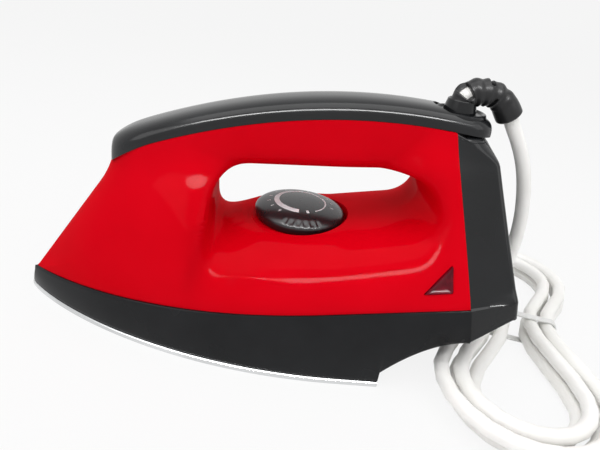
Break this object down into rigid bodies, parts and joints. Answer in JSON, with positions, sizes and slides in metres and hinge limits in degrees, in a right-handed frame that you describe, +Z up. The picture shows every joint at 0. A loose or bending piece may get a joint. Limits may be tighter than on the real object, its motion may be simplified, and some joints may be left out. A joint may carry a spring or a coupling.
{
  "type": "dry iron",
  "caption": "Dry iron with a closed handle, a turning thermostat dial, a swivelling cord guard and a mains cord wound in a hank behind it.",
  "frame": {"origin": "on the soleplate face under the middle of the iron, cord and plug left out", "axes": "+X towards the heel and the cord, -Y towards the side with the lamp window, +Z up from the soleplate"},
  "size_m": [0.325, 0.2145, 0.1392],
  "materials": {
    "chrome_sole": "polished",
    "red_shell": "gloss",
    "dark_shell": "satin gloss",
    "dial_dark": "gloss",
    "steel": "satin",
    "element": "dull",
    "ceramic": "matte",
    "brass": "satin",
    "copper": "satin",
    "lens": "clear",
    "lamp": "clear",
    "lead_live": "matte",
    "lead_neutral": "matte",
    "lead_earth": "matte",
    "guard_rubber": "satin",
    "cord_white": "satin",
    "plug_white": "satin"
  },
  "bodies": {
    "iron": {"soleplate": "chrome_sole", "heating_element": "element", "element_terminals": "ceramic", "heat_shield": "steel", "shield_screws": "steel", "skirt": "dark_shell", "body_shell": "red_shell", "handle_cover": "dark_shell", "rear_cover": "dark_shell", "rear_cover_screw": "steel", "rear_bracket": "steel", "front_tie_screw": "steel", "thermostat_base": "steel", "thermostat_insulators": "ceramic", "thermostat_rivet": "steel", "fixed_contact_blade": "copper", "bimetal_strip": "brass", "pilot_lens": "lens", "pilot_lamp": "lamp", "lamp_holder": "ceramic", "terminal_block": "ceramic", "terminal_screws": "brass", "live_lead": "lead_live", "neutral_lead": "lead_neutral", "earth_lead": "lead_earth", "thermal_fuse": "steel", "swivel_collar": "dark_shell", "cord_upper": "cord_white", "cord_hank": "cord_white", "hank_tie": "plug_white", "cord_lower": "cord_white", "plug_body": "plug_white", "plug_pins": "brass"},
    "dial": {"dial": "dial_dark", "dial_spindle": "steel"},
    "contact": {"moving_contact_blade": "copper"},
    "swivel": {"swivel_neck": "dark_shell", "cord_guard": "guard_rubber"}
  },
  "joints": [
    {"name": "dial_turn", "type": "hinge", "parent": "iron", "child": "dial", "pos_m": [0.0177, 0, 0.06], "axis": [0, 0, -1], "range_deg": [0, 300]},
    {"name": "contact_flex", "type": "hinge", "parent": "iron", "child": "contact", "pos_m": [-0.0063, 0, 0.02275], "axis": [0, 1, 0], "range_deg": [0, 2.4], "stiffness_Nm_per_rad": 0.02},
    {"name": "cord_swivel", "type": "hinge", "parent": "iron", "child": "swivel", "pos_m": [0.088, 0, 0.12], "axis": [0, 0, 1], "range_deg": [-90, 90]}
  ],
  "couplings": [
    {"joint": "contact_flex", "follows": "dial_turn", "ratio": 0.008}
  ]
}
